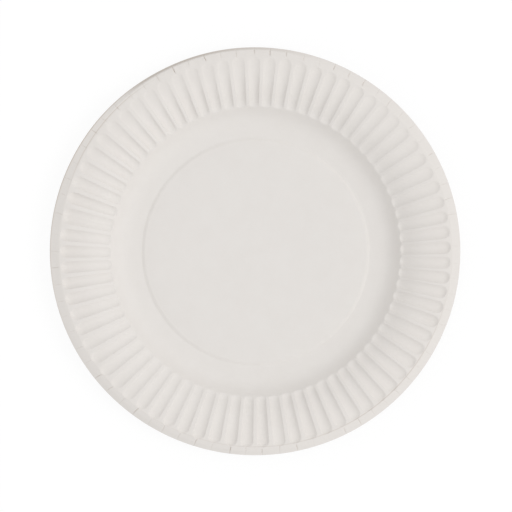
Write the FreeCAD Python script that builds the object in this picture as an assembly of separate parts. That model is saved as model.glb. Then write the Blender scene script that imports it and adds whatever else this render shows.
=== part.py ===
# A round disposable plate, pressed from one flat blank of white paperboard.
# From the middle outwards its section is a flat centre panel, a short step down,
# a flat foot ring that the plate stands on, a hollow cove, a steep wall, a
# shoulder that bends over into a level flange, and a rim turned down.
# Radial flutes gather the spare board of the shoulder and flange. On top each
# flute is a shallow channel, closed by a ramp at both ends, and underneath it is
# the matching rib. Between two flutes the board keeps a narrow land.
# Every face is a true plane. The rings inside the wall have one side for each
# flute and those outside it have two, so they leave the true circle by 0.1 mm.
# Lengths are in millimetres and angles in degrees. Z = 0 is the table.

import FreeCAD
import Part

import os
from math import acos, atan, cos, degrees, pi, radians, sin, tan

# Overall size and the board
PLATE_DIAMETER = 230.0
BOARD = 0.4

# Rim that is turned down, measured along its slope
RIM_LENGTH = 5.7
RIM_ANGLE = 25.0

# Level flange, and the bend between it and the shoulder
FLANGE_WIDTH = 9.4
BEND_RADIUS = 25.0
BEND_FLATS = 1

# Straight shoulder and steep wall, measured along their slopes
SHOULDER_LENGTH = 8.5
SHOULDER_ANGLE = 27.0
WALL_LENGTH = 4.85
WALL_ANGLE = 46.5

# Hollow cove and the flat foot ring
COVE_RADIUS = 13.2
COVE_FLATS = 3
FOOT_WIDTH = 4.6

# Step up to the centre panel
STEP_RISE = 0.58
STEP_ANGLE = 21.0

# Flutes. Width and depth are taken halfway along a flute and grow outwards.
FLUTE_COUNT = 75
FLUTE_DEPTH = 1.25
LAND_WIDTH = 1.35
FLUTE_FLATS = 4

# Ramps at both ends of a flute, and what is left between them and the next bend
INNER_END_LENGTH = 2.2
INNER_END_GAP = 0.35
OUTER_END_LENGTH = 2.9
OUTER_END_GAP = 0.7

# Where the first flute lies, and how far the flutes drift from even spacing
FIRST_FLUTE_ANGLE = -3.3
SPACING_DRIFT = 2.4
DRIFT_PHASE = 87.0

# Two corners nearer than this are one corner
SAME_POINT = 1e-5

AXIS = FreeCAD.Vector(0, 0, 1)


def along(slope):
    """Unit step along the section, outwards and up at a slope."""
    return FreeCAD.Vector(cos(radians(slope)), 0, sin(radians(slope)))


def square_to(slope):
    """Unit step square to a slope, on its upper side."""
    return FreeCAD.Vector(-sin(radians(slope)), 0, cos(radians(slope)))


def on_spoke(radius, angle, height):
    """Point at a radius, an angle round the plate in radians, and a height."""
    return FreeCAD.Vector(radius * cos(angle), radius * sin(angle), height)


def turned(points, angle):
    """Points turned round the plate's axis by an angle in radians."""
    turn = FreeCAD.Rotation(AXIS, degrees(angle))
    return [turn.multVec(point) for point in points]


def bend(radius, start, end, flats):
    """Stretches that turn from one slope to another as chords of an arc."""
    turn = (end - start) / flats
    chord = 2 * radius * sin(radians(abs(turn) / 2))
    return [(chord, start + turn * (flat + 0.5)) for flat in range(flats)]


def upper_section():
    """Corners and slopes of the board's upper face, from the axis to the rim.

    The index of the knee, where the wall meets the shoulder, comes with them.
    """
    step = [(STEP_RISE / sin(radians(STEP_ANGLE)), -STEP_ANGLE)]
    cove = bend(COVE_RADIUS, 0.0, WALL_ANGLE, COVE_FLATS)
    inside = step + [(FOOT_WIDTH, 0.0)] + cove + [(WALL_LENGTH, WALL_ANGLE)]
    shoulder = [(SHOULDER_LENGTH, SHOULDER_ANGLE)]
    shoulder += bend(BEND_RADIUS, SHOULDER_ANGLE, 0.0, BEND_FLATS)
    stretches = inside + shoulder + [(FLANGE_WIDTH, 0.0), (RIM_LENGTH, -RIM_ANGLE)]

    # The panel takes what the stretches outside it leave of the radius
    taken = sum(length * cos(radians(slope)) for length, slope in stretches)
    stretches = [(PLATE_DIAMETER / 2 - taken, 0.0)] + stretches
    corners = [AXIS * (BOARD + STEP_RISE)]
    for length, slope in stretches:
        corners.append(corners[-1] + along(slope) * length)
    return corners, [slope for length, slope in stretches], len(inside) + 1


def lower_section(corners, slopes):
    """Corners of the board's lower face, one board below the upper one."""
    lowered = []
    for corner, arriving, leaving in zip(corners, slopes[:1] + slopes, slopes + slopes[-1:]):
        reach = BOARD / cos(radians((leaving - arriving) / 2))
        lowered.append(corner - square_to((arriving + leaving) / 2) * reach)
    return lowered


def channel_section(pitch):
    """Offsets and depths of a channel's corners, on chords of an arc."""
    half_width = (pitch - LAND_WIDTH) / 2
    radius = (half_width ** 2 + FLUTE_DEPTH ** 2) / (2 * FLUTE_DEPTH)
    half_angle = acos(1 - FLUTE_DEPTH / radius)
    corners = []
    for flat in range(FLUTE_FLATS + 1):
        angle = half_angle * (2 * flat / FLUTE_FLATS - 1)
        corners.append((radius * sin(angle), radius * (cos(angle) - cos(half_angle))))
    return corners


def rib_section(channel):
    """The channel's corners moved one board down, measured from the lower face."""
    turns = [atan((end[1] - start[1]) / (end[0] - start[0]))
             for start, end in zip(channel, channel[1:])]
    corners = []
    for (offset, depth), arriving, leaving in zip(channel, [0.0] + turns, turns + [0.0]):
        middle = (arriving + leaving) / 2
        reach = BOARD / cos((leaving - arriving) / 2)
        corners.append((offset - reach * sin(middle), depth + reach * cos(middle) - BOARD))
    return corners


def flute_angles():
    """Angle of each flute round the plate in radians, in rising order."""
    angles = []
    for flute in range(FLUTE_COUNT):
        even = 360.0 * flute / FLUTE_COUNT
        drift = SPACING_DRIFT * cos(radians(even - DRIFT_PHASE))
        angles.append(radians(FIRST_FLUTE_ANGLE + even - drift))
    return angles


class RampFoot:
    """Where the floor of a flute ends, and the ramp that climbs from there.

    The way is -1 for a ramp that climbs inwards and 1 for one that climbs outwards.
    """

    def __init__(self, radius, ramp, slope, way):
        self.radius = radius
        self.ramp = ramp
        self.slope = slope
        self.way = way

    def climb(self):
        """Unit step up the ramp."""
        level = along(self.slope) * (self.way * cos(self.ramp))
        return level + square_to(self.slope) * sin(self.ramp)

    def one_board_down(self):
        """The same ramp on the lower face of the board."""
        shift = self.way * BOARD * tan(self.ramp / 2) * cos(radians(self.slope))
        shift += BOARD * sin(radians(self.slope))
        return RampFoot(self.radius + shift, self.ramp, self.slope, self.way)


class Skin:
    """One face of the board as flat polygons.

    A band of the section turned round the axis is a cone, and the lines of a flute
    in that band all aim at the cone's apex. Two such lines lie in one plane, so
    every flat between them is a true plane.
    """

    def __init__(self, corners, slopes, knee, section, middle, inner, outer):
        self.corners = corners
        self.slopes = slopes
        self.knee = knee
        self.crease = len(corners) - 2
        self.section = [(offset / middle, depth / middle) for offset, depth in section]
        self.half = self.section[-1][0]
        self.inner = inner
        self.outer = outer
        self.angles = flute_angles()

    def apex(self, band):
        """Point on the axis that a band aims at."""
        corner = self.corners[band]
        return AXIS * (corner.z - corner.x * tan(radians(self.slopes[band])))

    def line_step(self, band, angle, fall):
        """How far a line of a flute moves for each millimetre of radius."""
        return on_spoke(1.0, angle, tan(radians(self.slopes[band])) - fall)

    def station(self, band, radius):
        """The corners of a flute in a band at one radius."""
        return [self.apex(band) + self.line_step(band, angle, fall) * radius
                for angle, fall in self.section]

    def edge(self, corner, flute, side):
        """Where a ring crosses one edge of a flute, on side -1 or 1."""
        place = self.corners[corner]
        return on_spoke(place.x, self.angles[flute] + side * self.half, place.z)

    def fine_ring(self, corner):
        """Corners of a ring outside the wall, two for each flute."""
        return [self.edge(corner, flute, side) for flute in range(FLUTE_COUNT) for side in (-1, 1)]

    def plain_ring(self, corner):
        """Corners of a ring inside the wall, one for each flute."""
        place = self.corners[corner]
        return [on_spoke(place.x, angle, place.z) for angle in self.angles]

    def floor_end(self, band, foot):
        """Corners of a flute where its floor ends, in a plane square to the slope."""
        reach = foot.radius / cos(radians(foot.slope))
        steps = [self.line_step(band, angle, fall) for angle, fall in self.section]
        return [self.apex(band) + step * (reach / step.dot(along(foot.slope))) for step in steps]

    def ramp_tops(self, band, foot):
        """Where each line of a flute, climbing a ramp, is back on the flat of its band."""
        left = self.line_step(band, -self.half, 0.0)
        right = self.line_step(band, self.half, 0.0)
        facing = left.cross(right)
        climb = foot.climb()
        start = self.apex(band)
        return [point + climb * ((start - point).dot(facing) / climb.dot(facing))
                for point in self.floor_end(band, foot)]

    def flute_rows(self, flute):
        """Rows of corners along a flute, from the top of one ramp to the other's."""
        flange = self.crease - 1
        rows = [self.ramp_tops(self.knee, self.inner), self.floor_end(self.knee, self.inner)]
        for band in range(self.knee, flange):
            rows.append(self.station(band, self.corners[band + 1].x))
        rows += [self.floor_end(flange, self.outer), self.ramp_tops(flange, self.outer)]
        return [turned(row, self.angles[flute]) for row in rows]

    def flute_polygons(self, flute):
        """Flats of one flute, and what is left of the shoulder and flange at its ends."""
        rows = self.flute_rows(flute)
        made = []
        for inner, outer in zip(rows, rows[1:]):
            for side in range(len(inner) - 1):
                made.append([inner[side], inner[side + 1], outer[side + 1], outer[side]])
        made.append([self.edge(self.knee, flute, -1), self.edge(self.knee, flute, 1)]
                    + rows[0][::-1])
        made.append([self.edge(self.crease, flute, -1)] + rows[-1]
                    + [self.edge(self.crease, flute, 1)])
        return made

    def land_polygons(self, flute):
        """Flats between one flute and the next, from the knee to the crease."""
        after = (flute + 1) % FLUTE_COUNT
        made = []
        for band in range(self.knee, self.crease):
            inner = [self.edge(band, flute, 1), self.edge(band, after, -1)]
            outer = [self.edge(band + 1, after, -1), self.edge(band + 1, flute, 1)]
            made.append(inner + outer)

        # The first and last lands also have the corners where the flutes end
        for land, row in ((made[0], 0), (made[-1], -1)):
            land.insert(2, self.flute_rows(after)[row][0])
            land.append(self.flute_rows(flute)[row][-1])
        return made

    def wall_polygons(self, flute):
        """Flats of the wall under one flute and under the land beside it."""
        foot = self.plain_ring(self.knee - 1)
        after = (flute + 1) % FLUTE_COUNT
        near = self.edge(self.knee, flute, 1)
        under_flute = [foot[flute], self.edge(self.knee, flute, -1), near]
        return [under_flute, [foot[flute], near, self.edge(self.knee, after, -1), foot[after]]]

    def polygons(self):
        """Every flat of this face of the board."""
        made = [self.plain_ring(1)]
        for band in range(1, self.knee - 1):
            made += band_polygons(self.plain_ring(band), self.plain_ring(band + 1))
        for flute in range(FLUTE_COUNT):
            made += self.wall_polygons(flute)
            made += self.flute_polygons(flute) + self.land_polygons(flute)
        made += band_polygons(self.fine_ring(self.crease), self.fine_ring(self.crease + 1))
        return made


def band_polygons(ring, other):
    """Flats between two rings that have as many corners."""
    sides = zip(ring, ring[1:] + ring[:1], other[1:] + other[:1], other)
    return [list(side) for side in sides]


def flat_face(corners):
    """A face from its corners, without those that coincide with the one before."""
    before = corners[-1:] + corners
    kept = [corner for corner, last in zip(corners, before)
            if corner.distanceToPoint(last) > SAME_POINT]
    return Part.Face(Part.makePolygon(kept + kept[:1]))


def plate():
    """The whole plate as one solid."""
    corners, slopes, knee = upper_section()
    flat = cos(radians(SHOULDER_ANGLE))
    inner_radius = corners[knee].x + (INNER_END_GAP + INNER_END_LENGTH) * flat
    outer_radius = corners[-2].x - OUTER_END_GAP - OUTER_END_LENGTH
    middle = (corners[knee].x + outer_radius) / 2
    inner_depth = FLUTE_DEPTH * flat * inner_radius / middle
    outer_depth = FLUTE_DEPTH * outer_radius / middle
    inner = RampFoot(inner_radius, atan(inner_depth / INNER_END_LENGTH), SHOULDER_ANGLE, -1)
    outer = RampFoot(outer_radius, atan(outer_depth / OUTER_END_LENGTH), 0.0, 1)
    channel = channel_section(2 * pi * middle / FLUTE_COUNT)

    upper = Skin(corners, slopes, knee, channel, middle, inner, outer)
    lower = Skin(lower_section(corners, slopes), slopes, knee, rib_section(channel),
                 middle, inner.one_board_down(), outer.one_board_down())
    rim = upper.crease + 1
    cut_edge = band_polygons(upper.fine_ring(rim), lower.fine_ring(rim))
    polygons = upper.polygons() + lower.polygons() + cut_edge
    shell = Part.makeShell([flat_face(polygon) for polygon in polygons])
    shell.sewShape()
    solid = Part.makeSolid(Part.Shell(shell.Faces))
    if solid.Volume < 0:
        solid.reverse()
    return solid


os.makedirs("parts", exist_ok=True)
made_plate = plate()
made_plate.exportStep("parts/plate.step")
print("plate:", len(made_plate.Solids), "solid,", len(made_plate.Faces), "faces")
print("valid", made_plate.isValid(), "closed", made_plate.isClosed())
print("volume", round(made_plate.Volume), "box", made_plate.BoundBox)
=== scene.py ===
# %% [markdown]
# A pressed paper plate. The real thing is one disc of white board, and a heated die gives it
# its form in one stroke: a level centre, a rising wall, flutes that gather the spare board,
# and a rim turned down. The CAD model has that form in flat facets. This lesson lays a finer
# skin over it, with smooth bends, round flutes and the pleats of the rim, and gives it paper.
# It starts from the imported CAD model, because the plate's radius is read from that model's box.

# %% Load the frame
import math
from collections import namedtuple

import bpy
import numpy as np
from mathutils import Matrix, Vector


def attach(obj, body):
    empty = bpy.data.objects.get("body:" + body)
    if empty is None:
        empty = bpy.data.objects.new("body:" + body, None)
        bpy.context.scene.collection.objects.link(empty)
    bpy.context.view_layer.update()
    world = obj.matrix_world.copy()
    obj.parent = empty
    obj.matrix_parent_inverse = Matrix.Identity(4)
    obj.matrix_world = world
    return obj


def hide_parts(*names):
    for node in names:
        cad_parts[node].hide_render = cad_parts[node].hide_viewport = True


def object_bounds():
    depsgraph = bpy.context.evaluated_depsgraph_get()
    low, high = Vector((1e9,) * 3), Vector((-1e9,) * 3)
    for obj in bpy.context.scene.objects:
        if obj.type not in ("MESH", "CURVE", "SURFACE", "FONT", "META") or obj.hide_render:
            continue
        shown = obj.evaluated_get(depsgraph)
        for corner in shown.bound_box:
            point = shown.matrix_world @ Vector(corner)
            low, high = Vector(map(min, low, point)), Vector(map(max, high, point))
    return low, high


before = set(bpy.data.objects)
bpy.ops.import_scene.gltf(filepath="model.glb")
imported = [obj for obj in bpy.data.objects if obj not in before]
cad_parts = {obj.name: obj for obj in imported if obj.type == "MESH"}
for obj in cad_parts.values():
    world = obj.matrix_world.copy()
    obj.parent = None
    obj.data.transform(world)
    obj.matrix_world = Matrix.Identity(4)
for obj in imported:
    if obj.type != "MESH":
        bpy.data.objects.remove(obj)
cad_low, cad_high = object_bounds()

print("CAD box from", tuple(cad_low), "to", tuple(cad_high))

# %% [markdown]
# The sizes of the board come first, in metres, and named angles are in degrees. Most places on
# the plate are shares of its radius. The cut edge is a little oval, shorter along Y, while the
# forms inside it are round.

# %% Sizes that everything shares
MM = 0.001
PLATE_RADIUS = max(cad_high.x, -cad_low.x, cad_high.y, -cad_low.y)
BOARD = 0.4 * MM
OVAL = 0.9945
OVAL_INSIDE = 1.0
SEED = 75
rng = np.random.default_rng(SEED)


def radians(degrees):
    """Degrees as radians, for single numbers and for arrays."""
    return np.asarray(degrees, float) * math.pi / 180


def soft_above(value, softness):
    """The value where it is above zero and zero elsewhere, with a soft bend between."""
    return (value + np.sqrt(value ** 2 + softness ** 2)) / 2


def soft_step(value):
    """From 0 to 1 while the value goes from 0 to 1, level at both ends."""
    share = np.clip(value, 0, 1)
    return share ** 2 * (3 - 2 * share)


def degrees_away(angle, centre):
    """Degrees, positive or negative, by which angles in radians lie off a centre in degrees."""
    return (np.degrees(angle) - centre + 180) % 360 - 180


print("plate radius", PLATE_RADIUS, "board", BOARD)

# %% [markdown]
# The section is what a saw cut through the middle would show. It could be drawn as a curve,
# but a die maker thinks of it as slopes: a panel that is level in the centre and falls a little
# towards its edge, a short step down to the ring that the plate stands on, a hollow cove, a
# steep wall, and a shoulder that bends over into the flange. So a list gives the slope at some
# radii, and added up in small steps it gives the height at every radius. Board never bends
# sharply, so the slopes are blurred first.

# %% The section of the board
SLOPE_STATIONS = [
    (0.0, 0.0), (0.36, 0.0), (0.45, -2.2), (0.50, -3.7), (0.545, -5.0),
    (0.546, -24.0), (0.5585, -24.0), (0.560, 0.0), (0.564, 0.7), (0.572, 3.0), (0.58, 3.7),
    (0.60, 4.1), (0.62, 8.5), (0.64, 17.2), (0.66, 29.6), (0.68, 41.5), (0.69, 45.2),
    (0.70, 47.5), (0.711, 49.2), (0.7135, 27.5), (0.73, 27.0), (0.745, 29.3), (0.76, 28.8),
    (0.78, 23.4), (0.80, 17.6), (0.82, 13.0), (0.84, 8.3), (0.88, 3.0), (0.905, 1.0),
    (0.94, -5.5), (1.1, -5.5),
]
STEP_SHARE = 0.546
FOOT_SHARE = 0.6
SECTION_STEP = 0.02 * MM
BEND_SOFTNESS = 0.7 * MM


def section():
    """Radius and height along the board's upper face, from the axis outwards."""
    shares = [station[0] for station in SLOPE_STATIONS]
    slopes = [station[1] for station in SLOPE_STATIONS]
    radius = np.arange(0, shares[-1] * PLATE_RADIUS, SECTION_STEP)
    slope = np.interp(radius / PLATE_RADIUS, shares, slopes)
    window = np.hanning(int(BEND_SOFTNESS / SECTION_STEP))
    slope = np.convolve(slope, window / window.sum(), mode="same")
    height = np.cumsum(np.tan(radians(slope))) * SECTION_STEP
    foot = (radius > STEP_SHARE * PLATE_RADIUS) & (radius < FOOT_SHARE * PLATE_RADIUS)
    return radius, height - height[foot].min() + BOARD


section_radius, section_height = section()
print("height of the panel", section_height[0], "and of the flange", section_height.max())

# %% [markdown]
# The rim isn't the same all round. Where the die held the blank less tightly, the crease lies
# further out and only a narrow lip is turned down, steeply. A list of stations round the edge
# says this, as a boat builder's table of offsets does: for each angle, where the rim leaves
# the flange, its slope, where it bends again, the slope from there to the cut edge, and how
# sharply the crease itself is folded.

# %% The rim round the plate
RIM_STATIONS = [
    (0, 0.9565, 25, 0.980, 26, 0.1),
    (20, 0.955, 24, 0.980, 24, 0.1),
    (45, 0.952, 26, 0.980, 29, 0.0),
    (60, 0.952, 29, 0.977, 37, 0.0),
    (80, 0.954, 20, 0.981, 47, 0.0),
    (90, 0.952, 16, 0.985, 53, 0.0),
    (100, 0.958, 13, 0.986, 58, 0.0),
    (115, 0.968, 11, 0.985, 68, 0.0),
    (123, 0.973, 9, 0.984, 64, 0.1),
    (130, 0.972, 10, 0.980, 42, 0.9),
    (140, 0.97, 15, 0.978, 15, 1.1),
    (150, 0.966, 26, 0.976, 18, 1.0),
    (165, 0.958, 25, 0.980, 22, 0.1),
    (190, 0.9565, 24, 0.980, 22, 0.1),
    (210, 0.955, 24, 0.978, 31, 0.1),
    (230, 0.9545, 25, 0.976, 36, 0.1),
    (250, 0.9525, 23, 0.977, 36, 0.3),
    (270, 0.9525, 20, 0.978, 36, 0.5),
    (290, 0.9515, 20, 0.977, 33, 0.65),
    (310, 0.953, 24, 0.977, 31, 1.1),
    (330, 0.954, 29, 0.980, 26, 0.9),
    (345, 0.956, 26, 0.980, 26, 0.3),
]
STATION_BLUR = 6
FLUTE_TO_RIM = 0.9475
CREASE_SOFTNESS = 0.3 * MM
FOLD_DEPTH = 0.15 * MM
FOLD_WIDTH = 0.28 * MM


def round_the_edge(column):
    """One column of the stations at each whole degree, blurred so that it has no kinks."""
    angles = [station[0] for station in RIM_STATIONS]
    values = [station[column] for station in RIM_STATIONS]
    whole = np.interp(np.arange(360), angles, values, period=360)
    window = np.hanning(2 * STATION_BLUR + 1)
    padded = np.concatenate([whole[-STATION_BLUR:], whole, whole[:STATION_BLUR]])
    return np.convolve(padded, window / window.sum(), mode="valid")


Rim = namedtuple("Rim", "crease slope bend edge fold")
RIM_COLUMNS = [round_the_edge(column) for column in (1, 2, 3, 4, 5)]


def rim_at(angle):
    """The rim at angles in radians. Its crease and its second bend are radii in metres."""
    degrees = np.degrees(angle) % 360
    rim = Rim(*[np.interp(degrees, np.arange(360), column, period=360) for column in RIM_COLUMNS])
    return rim._replace(crease=rim.crease * PLATE_RADIUS, bend=rim.bend * PLATE_RADIUS)


def rim_drop(radius, angle):
    """How far the rim lies below the flange, which falls a little already."""
    rim = rim_at(angle)
    flange_fall = -np.tan(radians(SLOPE_STATIONS[-1][1]))
    first_fall = np.tan(radians(rim.slope)) - flange_fall
    second_fall = np.tan(radians(rim.edge)) - np.tan(radians(rim.slope))
    drop = first_fall * soft_above(radius - rim.crease, CREASE_SOFTNESS)
    return drop + second_fall * soft_above(radius - rim.bend, CREASE_SOFTNESS)


def fold_share(radius, angle):
    """How much of a fold the crease has: 1 in the middle of a fully folded one."""
    rim = rim_at(angle)
    return rim.fold * np.exp(-((radius - rim.crease) / FOLD_WIDTH) ** 2)


print("rim drops", rim_drop(PLATE_RADIUS, radians([0, 110, 250])) / MM, "mm")

# %% [markdown]
# The narrow steep lip gets painted shade in a dark brown, more where it is steeper, and so does a fine
# line along the cut edge round about one angle. A painted picture could say where the shade lies, but
# the lip's own slope already does, and one angle is enough for the line. The mesh carries the share of
# painted shade later on.

# %% The painted shade of the lip and the edge
LIP_FROM = 42.0
LIP_FULL = 62.0
LIP_PART = 0.5
LIP_SHADE = 1.3
EDGE_LINE_SHADE = 1.9
EDGE_LINE_ANGLE = 146.0
EDGE_LINE_SPREAD = 44.0
EDGE_LINE_WIDTH = 0.42 * MM


def lip_and_edge_shade(radius, angle):
    """How much painted shade, in a dark brown, the lip and the edge line get. More than 1 stands for a
    very dark brown.
    """
    rim = rim_at(angle)
    # Painted shade on the lip, stronger where the lip is steeper.
    steep = np.clip((rim.edge - LIP_FROM) / (LIP_FULL - LIP_FROM), 0, 1)
    down_the_lip = (radius - rim.bend) / (LIP_PART * (PLATE_RADIUS - rim.bend))
    lip = LIP_SHADE * steep * soft_step(down_the_lip)
    round_about = degrees_away(angle, EDGE_LINE_ANGLE) / EDGE_LINE_SPREAD
    from_edge = (PLATE_RADIUS - radius) / EDGE_LINE_WIDTH
    return np.maximum(lip, EDGE_LINE_SHADE * np.exp(-round_about ** 2 - from_edge ** 2))


print("brown at the cut edge", lip_and_edge_shade(PLATE_RADIUS, radians([0, 60, 115, 146])))

# %% [markdown]
# Seventy-five flutes gather the flange. Their centres drift from even spacing, and one is wide,
# where the die caught two folds at once. A list says, for some angles, how deep the inner and
# the outer half of a flute are there and how far it leans, because a blank that lies askew is
# pressed harder on one side. Arrays hold one value for each flute, and a seeded generator adds
# small differences, so that the plate is uneven and yet comes out the same at every run.

# %% The flutes round the plate
FLUTES = 75
FIRST_FLUTE = -3.35
DRIFT_STATIONS = [
    (0, -0.4), (15, -1.0), (30, -1.15), (45, -1.4), (60, -1.9), (75, -2.0), (105, -2.1),
    (120, -2.0), (135, -1.75), (150, -1.35), (165, -0.75), (175, 1.05), (195, 1.1), (225, 1.4),
    (240, 1.5), (255, 1.7), (270, 1.95), (285, 2.25), (300, 2.25), (315, 1.8), (330, 1.15),
    (345, 0.65),
]
FLUTE_STATIONS = [
    (0, 0.90, 0.98, 0.5), (20, 0.78, 0.70, 0.6), (35, 0.54, 0.53, 0.1), (47, 0.52, 0.48, 0.2),
    (60, 0.90, 0.64, 0.4), (75, 1.12, 0.68, 0.1), (90, 1.38, 0.52, -0.2), (105, 1.34, 0.42, -0.4),
    (120, 1.44, 0.44, -0.5), (135, 1.34, 0.50, -0.6), (150, 1.13, 0.72, -0.6),
    (165, 1.00, 1.20, -0.7), (180, 0.92, 1.32, -0.4), (195, 0.87, 1.12, -0.4),
    (210, 0.75, 0.70, -0.5), (225, 0.63, 0.65, -0.5), (240, 0.65, 0.80, -0.1),
    (255, 0.77, 0.90, 0.0), (270, 1.16, 1.08, 0.0), (285, 1.18, 0.98, -0.1),
    (300, 1.12, 0.85, -0.2), (315, 0.86, 0.86, 0.0), (335, 0.80, 0.95, 0.2),
]
HALF_ANGLE = 1.86
WIDE_FLUTE_ANGLE = 169.5
WIDE_FLUTE = 1.3
OUTER_TIP = 109.55 * MM
OUTER_SHIFT = 0.45 * MM
OUTER_SHIFT_ANGLE = 250.0
INNER_RISE = 0.92
SIDE_RISE = 0.12
CENTRE_DRIFT = 0.05
HALF_DRIFT = 0.015
DEPTH_DRIFT = 0.05
TIP_DRIFT = 0.2 * MM

flute_angle = FIRST_FLUTE + np.arange(FLUTES) * 360.0 / FLUTES
flute_angle += np.interp(flute_angle, *zip(*DRIFT_STATIONS), period=360)
flute_angle += rng.normal(0, CENTRE_DRIFT, FLUTES)
flute_half = HALF_ANGLE * (1 + rng.normal(0, HALF_DRIFT, FLUTES))
flute_depth = 1 + rng.normal(0, DEPTH_DRIFT, FLUTES)
outer_tip = OUTER_TIP + rng.normal(0, TIP_DRIFT, FLUTES)
outer_tip += OUTER_SHIFT * np.cos(radians(flute_angle - OUTER_SHIFT_ANGLE))
wide = int(np.argmin(np.abs(flute_angle - WIDE_FLUTE_ANGLE)))
flute_half[wide] = HALF_ANGLE * WIDE_FLUTE

# Depths and lean of each flute, from the stations
inner_depth, outer_depth, flute_lean = [
    np.interp(flute_angle, [station[0] for station in FLUTE_STATIONS],
              [station[column] for station in FLUTE_STATIONS], period=360) for column in (1, 2, 3)]

# How far each flute points along X, and how much of its depth is lost at its inner end
at_side = np.cos(radians(flute_angle)) ** 2
inner_rise = INNER_RISE + (SIDE_RISE - INNER_RISE) * at_side
print(FLUTES, "flutes, the wide one is number", wide)

# %% [markdown]
# Each flute has a round floor and a round cap at its outer end. It takes up a fixed angle, so
# it grows wider outwards, and it grows deeper alike. Inwards the floor goes on in the line of
# the shoulder, and the flute runs out where the wall drops away below that line. On the left
# and the right of the plate this inner end is rounded and a little deeper, like a heel. Towards
# the top and the bottom the floor rises instead and the end fades.

# %% The form of one flute
FLUTE_DEPTH = 1.42 * MM
FLUTE_MIDDLE = 93.85 * MM
DEPTH_TURNS_FROM = 0.775
DEPTH_TURNS_TO = 0.90
EDGE_ANGLE = 49.0
EDGE_SOFTNESS = 0.022
OUTER_CAP = 3.8 * MM
KNEE_SHARE = 0.7155
NO_FLUTE_INSIDE = 0.67
RISE_FROM = 0.732
RISE_TO = 0.704
INNER_TIP = 80.7 * MM
INNER_CAP = 2.4 * MM
HEEL_DEPTH = 0.24
HEEL_SHARE = 0.727
HEEL_WIDTH = 0.011
RIDGE_HEIGHT = 0.22
RIDGE_WIDTH = 0.2


def channel(reach):
    """Depth of a round floor: 1 in its middle, 0 where reach is 1 and negative outside."""
    edge = np.cos(radians(EDGE_ANGLE))
    across = np.minimum(np.abs(reach) * np.sin(radians(EDGE_ANGLE)), 1)
    return (np.sqrt(1 - across ** 2) - edge) / (1 - edge)


def wall_gap(radius):
    """How far the wall lies below the line of the shoulder when that is carried on inwards."""
    knee = KNEE_SHARE * PLATE_RADIUS
    knee_height, beyond = np.interp([knee, knee + MM], section_radius, section_height)
    line = knee_height + (radius - knee) * (beyond - knee_height) / MM
    gap = line - np.interp(radius, section_radius, section_height)
    gap = np.where(radius < knee, np.maximum(gap, 0), 0)
    return np.where(radius < NO_FLUTE_INSIDE * PLATE_RADIUS, PLATE_RADIUS, gap)


def flute_drop(radius, flute, share):
    """How far a flute's floor lies below the board, at a share of its half width."""
    outer_centre = outer_tip[flute] - OUTER_CAP
    past_outer = np.maximum(radius - outer_centre, 0) / OUTER_CAP
    past_inner = np.maximum(INNER_TIP + INNER_CAP - radius, 0) / INNER_CAP * at_side[flute]
    deep = channel(np.sqrt(share ** 2 + past_outer ** 2 + past_inner ** 2))
    outward = radius / PLATE_RADIUS - DEPTH_TURNS_FROM
    outward = soft_step(outward / (DEPTH_TURNS_TO - DEPTH_TURNS_FROM))
    deep = deep * (inner_depth[flute] * (1 - outward) + outer_depth[flute] * outward)
    inward = (RISE_FROM - radius / PLATE_RADIUS) / (RISE_FROM - RISE_TO)
    deep = deep * (1 - inner_rise[flute] * np.clip(inward, 0, 1))
    heel = np.exp(-((radius / PLATE_RADIUS - HEEL_SHARE) / HEEL_WIDTH) ** 2)
    deep = deep * (1 + HEEL_DEPTH * at_side[flute] * heel)
    ridge = np.where(flute == wide, RIDGE_HEIGHT * np.exp(-(share / RIDGE_WIDTH) ** 2), 0)
    deep = FLUTE_DEPTH * flute_depth[flute] * radius / FLUTE_MIDDLE * deep * (1 - ridge)
    return soft_above(deep - wall_gap(radius), EDGE_SOFTNESS * FLUTE_DEPTH)


middles = flute_drop(np.full(FLUTES, FLUTE_MIDDLE), np.arange(FLUTES), 0.0)
print("flutes from", middles.min() / MM, "to", middles.max() / MM, "mm deep in their middle")

# %% [markdown]
# Board that is squeezed into a smaller ring has to fold somewhere. Outside each flute it
# folds over itself in one fine radial pleat, which runs from the flute's end to the cut edge:
# a narrow furrow with one lip a little higher than the other. The pleats are part of the
# mesh, three columns of vertices wide, so that they catch the light from any side.

# %% The pleats of the rim
PLEAT_DEPTH = 0.3 * MM
PLEAT_WIDTH = 0.17 * MM
PLEAT_LIP = 0.09 * MM
LIP_REACH = 1.0 * MM
PLEAT_START = 0.942
PLEAT_RISE = 0.018
PLEAT_LATE = 0.016
PLEAT_END = 0.972
PLEAT_FADE = 0.6
PLEAT_WEAKEST = 0.2
PLEAT_STRONGEST = 1.4
PLEAT_ASIDE = 0.16
PLEAT_HOOK = 0.45 * MM
HOOK_REACH = 1.6 * MM
PLEAT_STATIONS = [
    (0, 0.25), (30, 0.6), (60, 0.9), (90, 1.2), (115, 1.5), (135, 1.1), (160, 0.5), (180, 0.6),
    (210, 0.6), (235, 1.1), (285, 1.1), (305, 0.5), (330, 0.3),
]

pleat_strength = np.interp(flute_angle, *zip(*PLEAT_STATIONS), period=360)
pleat_strength = pleat_strength * rng.uniform(PLEAT_WEAKEST, PLEAT_STRONGEST, FLUTES)
pleat_side = rng.choice([-1.0, 1.0], FLUTES)
pleat_place = rng.uniform(-PLEAT_ASIDE, PLEAT_ASIDE, FLUTES)
pleat_hook = PLEAT_HOOK * rng.uniform(-1, 1, FLUTES)
pleat_start = PLEAT_START + rng.uniform(0, PLEAT_LATE, FLUTES)


def pleat_share(radius, flute):
    """How strongly a flute's pleat shows at a radius."""
    along = (radius / PLATE_RADIUS - pleat_start[flute]) / PLEAT_RISE
    ending = 1 - PLEAT_FADE * soft_step((radius / PLATE_RADIUS - PLEAT_END) / (1 - PLEAT_END))
    return soft_step(along) * ending * pleat_strength[flute]


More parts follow.
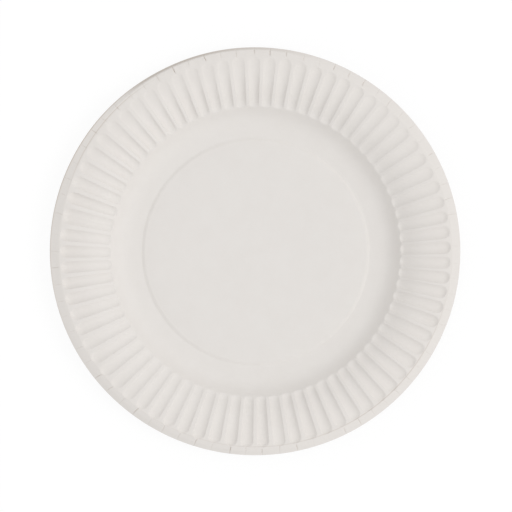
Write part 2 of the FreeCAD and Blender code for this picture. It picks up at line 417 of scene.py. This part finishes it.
def pleat_relief(radius, flute, sideways):
    """Height of a pleat at a distance sideways from its furrow."""
    furrow = -PLEAT_DEPTH * np.exp(-(sideways / PLEAT_WIDTH) ** 2)
    over = sideways * pleat_side[flute] > PLEAT_WIDTH / 2
    lip = np.where(over, PLEAT_LIP * np.exp(-np.abs(sideways) / LIP_REACH), 0)
    return (furrow + lip) * pleat_share(radius, flute)


print("mean pleat strength", pleat_strength.mean())

# %% [markdown]
# Paper is never quite true. A few long waves run round the plate and grow towards the rim,
# others lie on the panel alone, and short ones crumple the flange, most of all where the outer
# ends of the flutes are shallow. Sums of cosines with drawn phases make such waves without a
# seam at any angle.

# %% The unevenness of the board
LONG_WAVE = 0.16 * MM
LONG_ORDERS = (2, 3, 5, 8)
LONG_TURNS = (20, 60)
LONG_FROM = 0.6
PANEL_WAVE = 0.09 * MM
PANEL_ORDERS = (1, 2, 3, 5)
PANEL_TURNS = (60, 200)
PANEL_CENTRE = 0.15
PANEL_FADES_FROM = 0.4
PANEL_FADES_OVER = 0.12
CRUMPLE = 0.13 * MM
CRUMPLE_ORDERS = (61, 83, 107, 131, 149)
CRUMPLE_TURNS = (150, 420)
CRUMPLED_ANGLE = 118.0
CRUMPLED_SPREAD = 26.0
CRUMPLED_FROM = 0.86
CRUMPLED_OVER = 0.06
EVERYWHERE = 0.25
EVERYWHERE_FROM = 0.90
EVERYWHERE_OVER = 0.05
FLAT_FROM = 0.975


def drawn_waves(orders, turns):
    """For each number of crests round the plate, a phase and a turn in radians a metre."""
    return [(order, rng.uniform(0, 2 * math.pi), rng.uniform(*turns)) for order in orders]


long_waves = drawn_waves(LONG_ORDERS, LONG_TURNS)
panel_waves = drawn_waves(PANEL_ORDERS, PANEL_TURNS)
short_waves = drawn_waves(CRUMPLE_ORDERS, CRUMPLE_TURNS)


def waves(radius, angle, terms):
    """Mean of waves round the plate whose crests also turn with the radius."""
    total = sum(np.cos(order * angle + phase + turn * radius) for order, phase, turn in terms)
    return total / len(terms)


def unevenness(radius, angle):
    """Height that the board's waves add. The foot ring stands flat on the table."""
    share = radius / PLATE_RADIUS
    outside = soft_step((share - LONG_FROM) / (1 - LONG_FROM))
    on_panel = soft_step(share / PANEL_CENTRE)
    on_panel = on_panel * (1 - soft_step((share - PANEL_FADES_FROM) / PANEL_FADES_OVER))
    crumpled = np.exp(-(degrees_away(angle, CRUMPLED_ANGLE) / CRUMPLED_SPREAD) ** 2)
    crumpled = crumpled * soft_step((share - CRUMPLED_FROM) / CRUMPLED_OVER)
    crumpled = crumpled + EVERYWHERE * soft_step((share - EVERYWHERE_FROM) / EVERYWHERE_OVER)
    crumpled = crumpled * (1 - soft_step((share - FLAT_FROM) / (1 - FLAT_FROM)))
    height = LONG_WAVE * outside * waves(radius, angle, long_waves)
    height += PANEL_WAVE * on_panel * waves(radius, angle, panel_waves)
    return height + CRUMPLE * crumpled * waves(radius, angle, short_waves)


print("waves", len(long_waves) + len(panel_waves) + len(short_waves))

# %% [markdown]
# The skin is a net of rings. It could be a subdivided disc pushed up and down, but rings let
# every column of vertices follow a flute's edge or a pleat, which a regular net would blur.
# Inside the wall a ring needs two columns for each flute, and from the wall outwards 21. The
# underside, which is seldom seen, makes do with every second column and fewer rows.

# %% Columns and rows of the net
COLUMNS = np.array([0.045, 0.11, 0.25, 0.44, 0.61, 0.76, 0.87, 0.95, 1.0, 1.05])
TOP_COLUMNS = np.concatenate([-COLUMNS[::-1], [0.0], COLUMNS])
BACK_COLUMNS = TOP_COLUMNS[::2]
LAND_SHARE = 1.3
INNER_ROWS = [0.05, 0.1, 0.15, 0.2, 0.25, 0.3, 0.35, 0.4, 0.44, 0.48, 0.51, 0.530, 0.538, 0.5415,
              0.544, 0.547, 0.5535, 0.5565, 0.559, 0.562, 0.568, 0.576, 0.588, 0.600, 0.612,
              0.624, 0.636, 0.648, 0.660, 0.671, 0.680]
FLUTE_ROWS = [0.688, 0.693, 0.697, 0.7005, 0.7035, 0.7065, 0.7095, 0.7125, 0.7155, 0.720, 0.728,
              0.747, 0.765, 0.79, 0.815, 0.84, 0.865, 0.885, 0.903, 0.915, 0.923, 0.930, 0.936,
              0.941, 0.945]
RIM_ROWS = [0.0, 0.4, 0.7, 0.85, 1.0, 1.06, 1.13, 1.24, 1.42, 1.65, 1.84, 1.94, 2.0, 2.07, 2.16,
            2.3, 2.52, 2.76, 2.90, 2.96, 3.0]
BACK_FLUTE_ROWS = FLUTE_ROWS[1::2]
BACK_RIM_ROWS = [0.0, 0.7, 1.0, 1.24, 1.65, 2.0, 2.3, 3.0]


def flute_columns(columns):
    """Flute number, share of its half width and angle of each column outside the wall."""
    flute = np.repeat(np.arange(FLUTES), len(columns))
    share = np.tile(columns, FLUTES)
    share = share + pleat_place[flute] * np.maximum(1 - np.abs(share), 0)
    return flute, share, radians(flute_angle[flute] + share * flute_half[flute])


def plain_columns():
    """The same for the two columns a flute inside the wall: its middle and the land's."""
    after = np.append(flute_angle[1:], flute_angle[0] + 360)
    land = (flute_angle + after) / 2
    angle = np.stack([flute_angle, land], axis=1).ravel()
    share = np.tile([0.0, LAND_SHARE], FLUTES)
    return np.repeat(np.arange(FLUTES), 2), share, radians(angle)


def rim_radius(row, angle):
    """Radius of a row of the rim: 0 is the flutes' end, 1 the crease, 2 the second bend."""
    rim = rim_at(angle)
    start = np.full_like(angle, FLUTE_TO_RIM * PLATE_RADIUS)
    circles = [start, rim.crease, rim.bend, np.full_like(angle, PLATE_RADIUS)]
    whole = min(int(row), 2)
    return circles[whole] + (circles[whole + 1] - circles[whole]) * (row - whole)


print(len(TOP_COLUMNS) * FLUTES, "columns,", len(FLUTE_ROWS) + len(RIM_ROWS), "rows")

# %% [markdown]
# Now all forms meet in one height. The section gives the board, and the flutes, the rim and the
# fold at its crease are taken off it. The underside is the same board one thickness further
# down along its normal. The normal comes from the height a small step away on each side.

# %% The height of the board at a point
NORMAL_STEP = 0.05 * MM


def board_height(radius, flute, share, angle):
    """Height of the upper face before the pleats."""
    height = np.interp(radius, section_radius, section_height)
    height = height - flute_drop(radius, flute, share) - rim_drop(radius, angle)
    height = height - FOLD_DEPTH * fold_share(radius, angle)
    return height + unevenness(radius, angle)


def board_normal(radius, flute, share, angle):
    """Direction square to the upper face, as parts outwards, round the plate and up."""
    turn = NORMAL_STEP / radius
    side = turn / radians(flute_half[flute])
    outward = (board_height(radius + NORMAL_STEP, flute, share, angle)
               - board_height(radius - NORMAL_STEP, flute, share, angle)) / (2 * NORMAL_STEP)
    sideways = (board_height(radius, flute, share + side, angle + turn)
                - board_height(radius, flute, share - side, angle - turn)) / (2 * NORMAL_STEP)
    length = np.sqrt(1 + outward ** 2 + sideways ** 2)
    return -outward / length, -sideways / length, 1 / length


flute, share, angle = flute_columns(TOP_COLUMNS)
middle_heights = board_height(np.full_like(angle, FLUTE_MIDDLE), flute, share, angle)
print("flange from", middle_heights.min() / MM, "to", middle_heights.max() / MM, "mm high")

# %% [markdown]
# The net grows ring by ring. Two rings with as many columns join in quads, and two that differ
# are zipped with triangles: the side whose next vertex comes first round the circle takes the
# next step. Each face notes which side of the board it is on, for its material.

# %% A net of rings
FACE_SIDE = 0
BACK_SIDE = 1
CUT_SIDE = 2


class Net:
    """Vertices, faces, furrows and sides of the mesh while it grows."""

    def __init__(self):
        self.places = []
        self.furrows = []
        self.faces = []
        self.sides = []
        self.count = 0

    def add_ring(self, place, furrow, angle):
        """Add a ring of vertices and return its numbers with its angles."""
        numbers = np.arange(self.count, self.count + len(place))
        self.places.append(place)
        self.furrows.append(furrow)
        self.count += len(place)
        return numbers, angle

    def add_faces(self, made, side):
        """Add faces that were made seen from above. Those of the back are turned round."""
        self.faces += [face[::-1] for face in made] if side == BACK_SIDE else made
        self.sides += [side] * len(made)

    def join(self, inner, outer, side):
        """Faces between two rings."""
        (near, near_angle), (far, far_angle) = inner, outer
        if len(near) == len(far):
            self.add_faces(quads(near, far), side)
        else:
            self.add_faces(zipped(near, near_angle, far, far_angle), side)


def quads(near, far):
    """Quads between two rings with as many vertices."""
    near_next = np.roll(near, -1)
    far_next = np.roll(far, -1)
    return np.stack([near, far, far_next, near_next], axis=1).tolist()


def zipped(near, near_angle, far, far_angle):
    """Triangles between two rings with different numbers of vertices."""
    full_turn = 2 * math.pi
    made = []
    at_near = at_far = 0
    near_ends = np.append(near_angle[1:], near_angle[0] + full_turn)
    far_ends = np.append(far_angle[1:], far_angle[0] + full_turn)
    while at_near < len(near) or at_far < len(far):
        here = int(near[at_near % len(near)])
        there = int(far[at_far % len(far)])
        near_is_next = at_far >= len(far) or (
            at_near < len(near) and near_ends[at_near] < far_ends[at_far])
        if near_is_next:
            made.append([here, there, int(near[(at_near + 1) % len(near)])])
            at_near += 1
        else:
            made.append([here, there, int(far[(at_far + 1) % len(far)])])
            at_far += 1
    return made


print("net with sides", FACE_SIDE, BACK_SIDE, "and", CUT_SIDE)

# %% [markdown]
# Each ring is placed by its row's radius and its columns' angles. A flute that leans turns its
# columns a little more with each row, and a pleat hooks aside near the crease. The blank lay a
# little off centre in the die, so all forms inside the rim are moved aside against its cut
# edge. Both faces grow from the middle outwards, and the strip between their edges is the cut.

# %% Grow both faces and the cut edge
LEAN_RADIUS = 0.83
LEAN_REACH = 0.24
LEAN_LIMIT = 0.6
OFF_CENTRE = (0.35 * MM, -0.25 * MM)
CENTRED_FROM = 0.92


def ring_places(radius, flute, share, angle, below):
    """Vertices of a ring on the upper face, or one board below it, with their share of painted shade.
    """
    height = board_height(radius, flute, share, angle)
    furrow = np.zeros_like(angle)
    turned = angle
    if below:
        outward, sideways, up = board_normal(radius, flute, share, angle)
        turned = angle - BOARD * sideways / radius
        radius = radius - BOARD * outward
        height = height - BOARD * up
    else:
        across = (share - pleat_place[flute]) * radians(flute_half[flute]) * radius
        height = height + pleat_relief(radius, flute, across)
        # The furrow share is painted shade for the material: pleat furrows, the crease's fold, the lip
        # and the cut edge line.
        furrow = pleat_share(radius, flute) * np.exp(-(across / PLEAT_WIDTH) ** 2)
        furrow = np.maximum(furrow, fold_share(radius, angle))
        furrow = np.maximum(furrow, lip_and_edge_shade(radius, angle))
    past = (radius / PLATE_RADIUS - LEAN_RADIUS) / LEAN_REACH
    turned = turned + radians(flute_lean[flute]) * np.clip(past, -LEAN_LIMIT, LEAN_LIMIT)
    near_crease = np.exp(-((radius - rim_at(angle).crease) / HOOK_REACH) ** 2)
    turned = turned + pleat_hook[flute] / radius * near_crease * np.maximum(1 - np.abs(share), 0)
    aside = 1 - soft_step((radius / PLATE_RADIUS - CENTRED_FROM) / (1 - CENTRED_FROM))
    across_x = radius * np.cos(turned) + OFF_CENTRE[0] * aside
    oval = OVAL + (OVAL_INSIDE - OVAL) * aside
    across_y = oval * radius * np.sin(turned) + OFF_CENTRE[1] * aside
    return np.stack([across_x, across_y, height], axis=1), furrow


def grow_face(net, columns, flute_rows, rim_rows, side):
    """One whole face of the board, from a small ring in the middle to its cut edge."""
    below = side == BACK_SIDE
    rings = []
    flute, share, angle = plain_columns()
    for row in INNER_ROWS:
        radius = np.full_like(angle, row * PLATE_RADIUS)
        rings.append(net.add_ring(*ring_places(radius, flute, share, angle, below), angle))
    flute, share, angle = flute_columns(columns)
    radii = [np.full_like(angle, row * PLATE_RADIUS) for row in flute_rows]
    radii += [rim_radius(row, angle) for row in rim_rows]
    for radius in radii:
        rings.append(net.add_ring(*ring_places(radius, flute, share, angle, below), angle))

    # A fan closes the middle round one vertex
    level = net.places[-len(rings)][:, 2].mean()
    middle, angle = net.add_ring(np.array([[*OFF_CENTRE, level]]), np.zeros(1), np.zeros(1))
    first = rings[0][0]
    net.add_faces([[int(middle[0]), int(a), int(b)] for a, b in zip(first, np.roll(first, -1))], side)
    for inner, outer in zip(rings, rings[1:]):
        net.join(inner, outer, side)
    return rings[-1]


net = Net()
top_edge = grow_face(net, TOP_COLUMNS, FLUTE_ROWS, RIM_ROWS, FACE_SIDE)
back_edge = grow_face(net, BACK_COLUMNS, BACK_FLUTE_ROWS, BACK_RIM_ROWS, BACK_SIDE)
net.join(top_edge, back_edge, CUT_SIDE)
print(net.count, "vertices and", len(net.faces), "faces")

# %% [markdown]
# The net becomes one mesh object, closed all round like the board itself. All faces are smooth, and
# edges sharper than the limit stay sharp, which is the two edges of the cut. The share of painted shade
# in the furrows, at the crease, on the lip and along the cut edge line goes along as one attribute of
# the vertices, so that the material can darken the board there.

# %% Make the plate
SHARP_LIMIT = 62.0
plate_mesh = bpy.data.meshes.new("pressed_plate")
plate_mesh.from_pydata(np.concatenate(net.places).tolist(), [], net.faces)
plate_mesh.polygons.foreach_set("material_index", net.sides)
plate_mesh.polygons.foreach_set("use_smooth", [True] * len(net.faces))
plate_mesh.set_sharp_from_angle(angle=float(radians(SHARP_LIMIT)))
furrow_values = plate_mesh.attributes.new("furrow", "FLOAT", "POINT")
furrow_values.data.foreach_set("value", np.concatenate(net.furrows).astype(np.float32))
plate_mesh.validate()
plate_mesh.update()
plate = bpy.data.objects.new("pressed_plate", plate_mesh)
bpy.context.scene.collection.objects.link(plate)
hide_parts("plate")
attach(plate, "root")
print(sum(len(face) - 2 for face in net.faces), "triangles in the plate")

# %% [markdown]
# A node group keeps a pattern in one place, and several materials can share it. Groups are
# built from the same few steps: an empty group with its sockets, a sum or product of two
# values, and a noise. Small functions for those steps keep the groups below short to read.

# %% Helpers for node groups
NOISE_MEAN = 0.5


def new_group(name, inputs, outputs):
    """An empty node group with number inputs, given with defaults, and named outputs."""
    group = bpy.data.node_groups.new(name, "ShaderNodeTree")
    for label, default in inputs:
        socket = group.interface.new_socket(name=label, in_out="INPUT", socket_type="NodeSocketFloat")
        socket.default_value = default
    for label in outputs:
        group.interface.new_socket(name=label, in_out="OUTPUT", socket_type="NodeSocketFloat")
    return group, group.nodes.new("NodeGroupInput"), group.nodes.new("NodeGroupOutput")


def math_node(tree, operation, first, second=None, third=None):
    """A Math node whose inputs are sockets or plain numbers, and its result."""
    node = tree.nodes.new("ShaderNodeMath")
    node.operation = operation
    for slot, value in enumerate((first, second, third)):
        if value is None:
            continue
        if isinstance(value, bpy.types.NodeSocket):
            tree.links.new(value, node.inputs[slot])
        else:
            node.inputs[slot].default_value = value
    return node.outputs[0]


def noise_node(tree, place, scale, detail, roughness):
    """A Noise Texture whose scale is a socket or a number, centred on zero."""
    node = tree.nodes.new("ShaderNodeTexNoise")
    node.inputs["Detail"].default_value = detail
    node.inputs["Roughness"].default_value = roughness
    tree.links.new(place, node.inputs["Vector"])
    if isinstance(scale, bpy.types.NodeSocket):
        tree.links.new(scale, node.inputs["Scale"])
    else:
        node.inputs["Scale"].default_value = scale
    return math_node(tree, "SUBTRACT", node.outputs["Fac"], NOISE_MEAN)


print("noises are centred by taking off", NOISE_MEAN)

# %% [markdown]
# Paper is a felt of fibres. Close by it shows fine flecks, and from further off a faint
# cloudiness that a paper maker calls its formation. Both sides and the cut edge are the same
# felt, so it is one node group with its own sizes and strengths as inputs, and it gives out a
# tone and a height. Textures of noise fit, because a felt has no pattern that repeats.

# %% The paper felt as a node group
FIBRE_STRETCH = (1.0, 3.5, 1.0)
FIBRE_TURNS = (25.0, 140.0)
FIBRE_DETAIL = 3.0
FIBRE_ROUGHNESS = 0.6
CLOUDS_PER_METRE = 90.0
CLOUD_DETAIL = 4.0
CLOUD_ROUGHNESS = 0.6
MIDDLE_TONE = 0.5


def paper_felt():
    """Node group: tone and height of a felt of fibres with a cloudy formation."""
    group, entry, leave = new_group(
        "paper_felt", [("Fibres per metre", 900.0), ("Cloud", 1.0), ("Fleck", 1.0)], ["Tone", "Height"])
    place = group.nodes.new("ShaderNodeTexCoord").outputs["Object"]
    fibres = []
    for turn in FIBRE_TURNS:
        mapping = group.nodes.new("ShaderNodeMapping")
        mapping.inputs["Rotation"].default_value = (0.0, 0.0, float(radians(turn)))
        mapping.inputs["Scale"].default_value = FIBRE_STRETCH
        group.links.new(place, mapping.inputs["Vector"])
        fibres.append(noise_node(group, mapping.outputs["Vector"],
                                 entry.outputs["Fibres per metre"], FIBRE_DETAIL, FIBRE_ROUGHNESS))
    felt = math_node(group, "ADD", fibres[0], fibres[1])
    cloud = noise_node(group, place, CLOUDS_PER_METRE, CLOUD_DETAIL, CLOUD_ROUGHNESS)
    cloud = math_node(group, "MULTIPLY", cloud, entry.outputs["Cloud"])
    tone = math_node(group, "MULTIPLY_ADD", felt, entry.outputs["Fleck"], cloud)
    group.links.new(math_node(group, "ADD", tone, MIDDLE_TONE), leave.inputs["Tone"])
    group.links.new(felt, leave.inputs["Height"])
    return group


FELT = paper_felt()
print("node group", FELT.name, "with", len(FELT.nodes), "nodes")

# %% [markdown]
# The second group reads the furrows' attribute and gives out a share of painted shade: dark in the
# pleats' furrows and at the crease, and dark brown on the steep lip and along a fine line of the cut
# edge. Soft patches of a slightly different tone are added at random. It also gives out how far out on
# the plate a point is, and by that the board is painted a touch warmer and darker towards the rim, as
# painted warm shade of the flutes and the rim.

# %% Painted shade in the pleats as a node group
WARM_FROM = 0.5
PATCHES_PER_METRE = 14.0
PATCH_DETAIL = 2.0
PATCH_ROUGHNESS = 0.5


def painted_crease_shade():
    """Node group: share of painted shade in the furrows, with random patches, and how far out on the
    plate a point is.
    """
    group, entry, leave = new_group(
        "painted_crease_shade", [("Painted shade", 0.2), ("Patch", 0.01)], ["Painted shade", "Outward"])
    attribute = group.nodes.new("ShaderNodeAttribute")
    attribute.attribute_name = "furrow"
    place = group.nodes.new("ShaderNodeTexCoord").outputs["Object"]
    dark = math_node(group, "MULTIPLY", attribute.outputs["Fac"], entry.outputs["Painted shade"])
    patch = noise_node(group, place, PATCHES_PER_METRE, PATCH_DETAIL, PATCH_ROUGHNESS)
    painted_shade = math_node(group, "MULTIPLY_ADD", patch, entry.outputs["Patch"], dark)
    group.links.new(painted_shade, leave.inputs["Painted shade"])
    distance = group.nodes.new("ShaderNodeVectorMath")
    distance.operation = "LENGTH"
    group.links.new(place, distance.inputs[0])
    reach = group.nodes.new("ShaderNodeMapRange")
    reach.inputs["From Min"].default_value = WARM_FROM * PLATE_RADIUS
    reach.inputs["From Max"].default_value = PLATE_RADIUS
    group.links.new(distance.outputs["Value"], reach.inputs["Value"])
    group.links.new(reach.outputs["Result"], leave.inputs["Outward"])
    return group


SHADE_GROUP = painted_crease_shade()
print("node group", SHADE_GROUP.name, "with", len(SHADE_GROUP.nodes), "nodes")

# %% [markdown]
# Three finishes come from these groups. The face was pressed against the polished half of the
# die and is the smoothest. The back kept more of its felt. The cut edge shows the core of the
# board, which is duller and coarser. Each mixes two near whites by the felt's tone, and a weak
# bump from its height breaks the light as uncoated paper does.

# %% Paper materials
# Painted warm shade: the board is painted a touch warmer and darker towards the rim.
WARM_SHADE_TINT = (0.999, 0.990, 0.984)
# Dark brown of the painted shade in the furrows, at the crease, on the lip and along the cut edge line.
SHADE_BROWN = (0.40, 0.32, 0.24)
CLOUD = 2.0
FLECK = 1.0
PATCH = 0.012
BUMP_STRENGTH = 0.35
ROUGHNESS_RANGE = 0.12
PAPER_SHINE = 0.3


def paper_material(name, pale, deep, roughness, fibres, bump, painted_shade):
    """A matt white paper between two tones, in the next material slot of the plate."""
    material = bpy.data.materials.new(name)
    material.use_nodes = True
    tree = material.node_tree
    shader = tree.nodes["Principled BSDF"]
    felt = tree.nodes.new("ShaderNodeGroup")
    felt.node_tree = FELT
    felt.inputs["Fibres per metre"].default_value = fibres
    felt.inputs["Cloud"].default_value = CLOUD
    felt.inputs["Fleck"].default_value = FLECK
    marks = tree.nodes.new("ShaderNodeGroup")
    marks.node_tree = SHADE_GROUP
    marks.inputs["Painted shade"].default_value = painted_shade
    marks.inputs["Patch"].default_value = PATCH

    tones = tree.nodes.new("ShaderNodeMix")
    tones.data_type = "RGBA"
    tree.links.new(felt.outputs["Tone"], tones.inputs["Factor"])
    tones.inputs["A"].default_value = (*deep, 1.0)
    tones.inputs["B"].default_value = (*pale, 1.0)
    # Painted warm shade, growing from half the radius out to the rim.
    warm_shaded = tree.nodes.new("ShaderNodeMix")
    warm_shaded.data_type = "RGBA"
    warm_shaded.blend_type = "MULTIPLY"
    tree.links.new(marks.outputs["Outward"], warm_shaded.inputs["Factor"])
    tree.links.new(tones.outputs["Result"], warm_shaded.inputs["A"])
    warm_shaded.inputs["B"].default_value = (*WARM_SHADE_TINT, 1.0)
    # Painted shade: the furrows, the crease, the lip and the cut edge line are darkened towards a dark
    # brown.
    shaded_tone = tree.nodes.new("ShaderNodeMix")
    shaded_tone.data_type = "RGBA"
    tree.links.new(marks.outputs["Painted shade"], shaded_tone.inputs["Factor"])
    tree.links.new(warm_shaded.outputs["Result"], shaded_tone.inputs["A"])
    shaded_tone.inputs["B"].default_value = (*SHADE_BROWN, 1.0)
    tree.links.new(shaded_tone.outputs["Result"], shader.inputs["Base Color"])

    relief = tree.nodes.new("ShaderNodeBump")
    relief.inputs["Strength"].default_value = BUMP_STRENGTH
    relief.inputs["Distance"].default_value = bump
    tree.links.new(felt.outputs["Height"], relief.inputs["Height"])
    tree.links.new(relief.outputs["Normal"], shader.inputs["Normal"])
    rough = math_node(tree, "MULTIPLY_ADD", felt.outputs["Tone"], ROUGHNESS_RANGE,
                      roughness - ROUGHNESS_RANGE / 2)
    tree.links.new(rough, shader.inputs["Roughness"])
    shader.inputs["Specular IOR Level"].default_value = PAPER_SHINE
    plate_mesh.materials.append(material)
    print(name, "between", deep, "and", pale)


paper_material("pressed_face", pale=(0.808, 0.780, 0.751), deep=(0.788, 0.758, 0.727),
               roughness=0.72, fibres=900.0, bump=0.04 * MM, painted_shade=0.34)
paper_material("felted_back", pale=(0.800, 0.776, 0.746), deep=(0.770, 0.744, 0.712),
               roughness=0.84, fibres=700.0, bump=0.08 * MM, painted_shade=0.0)
paper_material("cut_edge", pale=(0.760, 0.722, 0.674), deep=(0.700, 0.655, 0.600),
               roughness=0.90, fibres=1600.0, bump=0.08 * MM, painted_shade=0.28)

# %% [markdown]
# The plate stands on a white table. The floor is a wide plain sheet that keeps the plate's
# soft shadow. A real white table would need more light than the plate does, so what the
# camera sees of it is mostly its own white, by way of Light Path, and the light stays plain.

# %% The floor
FLOOR_HALF = 6.0
FLOOR_GAP = 0.02 * MM
FLOOR_COLOUR = (0.93, 0.93, 0.93)
FLOOR_ROUGHNESS = 0.9
SEEN_STRENGTH = 1.02
SEEN_WHITE = 0.90


def seen_by_eye(tree):
    """1 for rays that show the background: camera, mirror and glass rays."""
    path = tree.nodes.new("ShaderNodeLightPath")
    mirror = math_node(tree, "MAXIMUM", path.outputs["Is Camera Ray"], path.outputs["Is Glossy Ray"])
    return math_node(tree, "MAXIMUM", mirror, path.outputs["Is Transmission Ray"])


floor_mesh = bpy.data.meshes.new("table_top")
corners = [(-FLOOR_HALF, -FLOOR_HALF), (FLOOR_HALF, -FLOOR_HALF),
           (FLOOR_HALF, FLOOR_HALF), (-FLOOR_HALF, FLOOR_HALF)]
floor_mesh.from_pydata([(x, y, cad_low.z - FLOOR_GAP) for x, y in corners], [], [(0, 1, 2, 3)])
table_top = bpy.data.objects.new("table_top", floor_mesh)
bpy.context.scene.collection.objects.link(table_top)

floor_paint = bpy.data.materials.new("white_table")
floor_paint.use_nodes = True
floor_tree = floor_paint.node_tree
floor_shader = floor_tree.nodes["Principled BSDF"]
floor_shader.inputs["Base Color"].default_value = (*FLOOR_COLOUR, 1.0)
floor_shader.inputs["Roughness"].default_value = FLOOR_ROUGHNESS
floor_shader.inputs["Specular IOR Level"].default_value = 0.0
floor_white = floor_tree.nodes.new("ShaderNodeEmission")
floor_white.inputs["Strength"].default_value = SEEN_STRENGTH
floor_mix = floor_tree.nodes.new("ShaderNodeMixShader")
share_seen = math_node(floor_tree, "MULTIPLY", seen_by_eye(floor_tree), SEEN_WHITE)
floor_tree.links.new(share_seen, floor_mix.inputs[0])
floor_tree.links.new(floor_shader.outputs[0], floor_mix.inputs[1])
floor_tree.links.new(floor_white.outputs[0], floor_mix.inputs[2])
floor_tree.links.new(floor_mix.outputs[0], floor_tree.nodes["Material Output"].inputs["Surface"])
floor_mesh.materials.append(floor_paint)
print("floor at", cad_low.z - FLOOR_GAP)

# %% [markdown]
# The light is that of a bright room with large soft lamps. An even sky gives most of it, and
# one lamp overhead darkens every slope a little. The lamp on the right is what draws the cove
# and the flutes: the side of each hollow that faces it is lighter, and the other darker.

# %% The light
SKY_STRENGTH = 0.729
LAMP_STRENGTH = 0.760
LAMP_BEARING = -5.0
LAMP_HEIGHT = 50.0
LAMP_SOFTNESS = 30.0
OVERHEAD_STRENGTH = 0.12
OVERHEAD_HEIGHT = 90.0
OVERHEAD_SOFTNESS = 50.0

world = bpy.data.worlds.new("bright_room")
bpy.context.scene.world = world
world.use_nodes = True
sky_tree = world.node_tree
sky = sky_tree.nodes["Background"]
sky.inputs["Color"].default_value = (1.0, 1.0, 1.0, 1.0)
extra = math_node(sky_tree, "MULTIPLY_ADD", seen_by_eye(sky_tree), 1.0 - SKY_STRENGTH, SKY_STRENGTH)
sky_tree.links.new(extra, sky.inputs["Strength"])


def add_lamp(name, strength, bearing, height, softness):
    """A far lamp at a bearing from +X and a height above the table, both in degrees."""
    lamp = bpy.data.lights.new(name, "SUN")
    lamp.energy = strength
    lamp.angle = math.radians(softness)
    level = math.cos(math.radians(height))
    towards = Vector((math.cos(math.radians(bearing)) * level,
                      math.sin(math.radians(bearing)) * level, math.sin(math.radians(height))))
    holder = bpy.data.objects.new(name, lamp)
    holder.rotation_mode = "QUATERNION"
    holder.rotation_quaternion = towards.to_track_quat("Z", "Y")
    holder.location = towards
    bpy.context.scene.collection.objects.link(holder)
    print(name, "towards", tuple(towards))


add_lamp("soft_lamp", LAMP_STRENGTH, LAMP_BEARING, LAMP_HEIGHT, LAMP_SOFTNESS)
add_lamp("overhead_lamp", OVERHEAD_STRENGTH, 0.0, OVERHEAD_HEIGHT, OVERHEAD_SOFTNESS)
bpy.context.scene.view_settings.view_transform = "Standard"

# %% [markdown]
# The camera hangs straight above, as the photograph was taken, with a long lens so that the
# rim and the foot are seen at nearly one scale. The plate's outline in the photograph is 410.56
# pixels wide and its middle lies a little above the picture's own, which places the camera.

# %% The camera
PICTURE = 512
OUTLINE_WIDTH = 410.56
OUTLINE_CENTRE = (255.09, 251.23)
LENS = 200.0
SENSOR = 36.0
RIM_BELOW_TOP = 2.4 * MM
FURTHEST_SEEN = 20.0

metres_per_pixel = 2 * PLATE_RADIUS / OUTLINE_WIDTH
rim_level = cad_high.z - RIM_BELOW_TOP
camera_data = bpy.data.cameras.new("camera")
camera_data.lens = LENS
camera_data.sensor_width = SENSOR
camera_data.sensor_fit = "HORIZONTAL"
distance = metres_per_pixel * PICTURE * LENS / SENSOR
aside = (PICTURE / 2 - OUTLINE_CENTRE[0]) * metres_per_pixel
ahead = (OUTLINE_CENTRE[1] - PICTURE / 2) * metres_per_pixel
camera = bpy.data.objects.new("camera", camera_data)
camera.location = (aside, ahead, rim_level + distance)
camera_data.clip_end = FURTHEST_SEEN
bpy.context.scene.collection.objects.link(camera)
bpy.context.scene.camera = camera
print("camera", distance, "above the rim")
